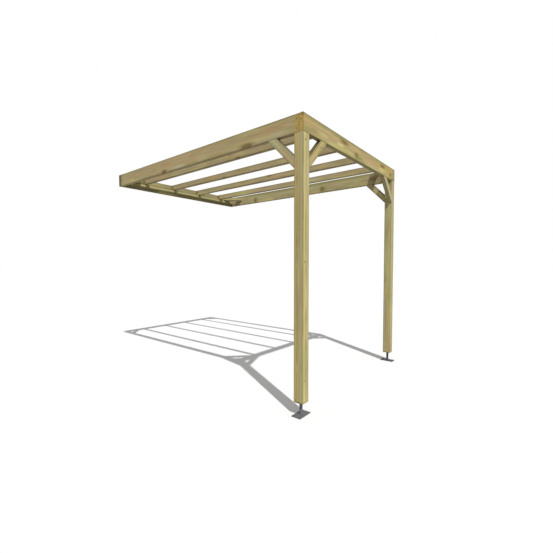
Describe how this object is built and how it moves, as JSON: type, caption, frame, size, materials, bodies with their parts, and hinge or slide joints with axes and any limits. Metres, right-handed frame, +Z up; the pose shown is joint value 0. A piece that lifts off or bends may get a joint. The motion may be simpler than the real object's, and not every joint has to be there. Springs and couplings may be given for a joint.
{
  "type": "lean-to pergola",
  "caption": "Wall-fixed timber pergola: flat frame of deep beams and slimmer rafters on a wall plate and two braced posts with steel feet.",
  "frame": {"origin": "middle of the wall plate's back face, which lies on the house wall", "axes": "+Y into the wall, +X to the right as one faces the wall, +Z up; the ground is 2375 mm below the origin"},
  "size_m": [2.1075, 3.0325, 2.45],
  "materials": {
    "timber": "pressure-treated planed softwood, matt",
    "foot_steel": "dark grey powder coat, satin"
  },
  "bodies": {
    "root": {"wall_plate": "timber", "front_beam": "timber", "side_beam_left": "timber", "side_beam_right": "timber", "wall_ledger": "timber", "front_ledger": "timber", "rafter_1": "timber", "rafter_2": "timber", "rafter_3": "timber", "rafter_4": "timber", "post_left": "timber", "post_right": "timber", "knee_brace_left_side": "timber", "knee_brace_left_front": "timber", "knee_brace_right_side": "timber", "knee_brace_right_front": "timber", "corner_brace_front_left": "timber", "corner_brace_front_right": "timber", "corner_brace_back_left": "timber", "corner_brace_back_right": "timber", "foot_stem_left": "foot_steel", "foot_stem_right": "foot_steel", "base_plate_left": "foot_steel", "base_plate_right": "foot_steel"}
  },
  "joints": []
}
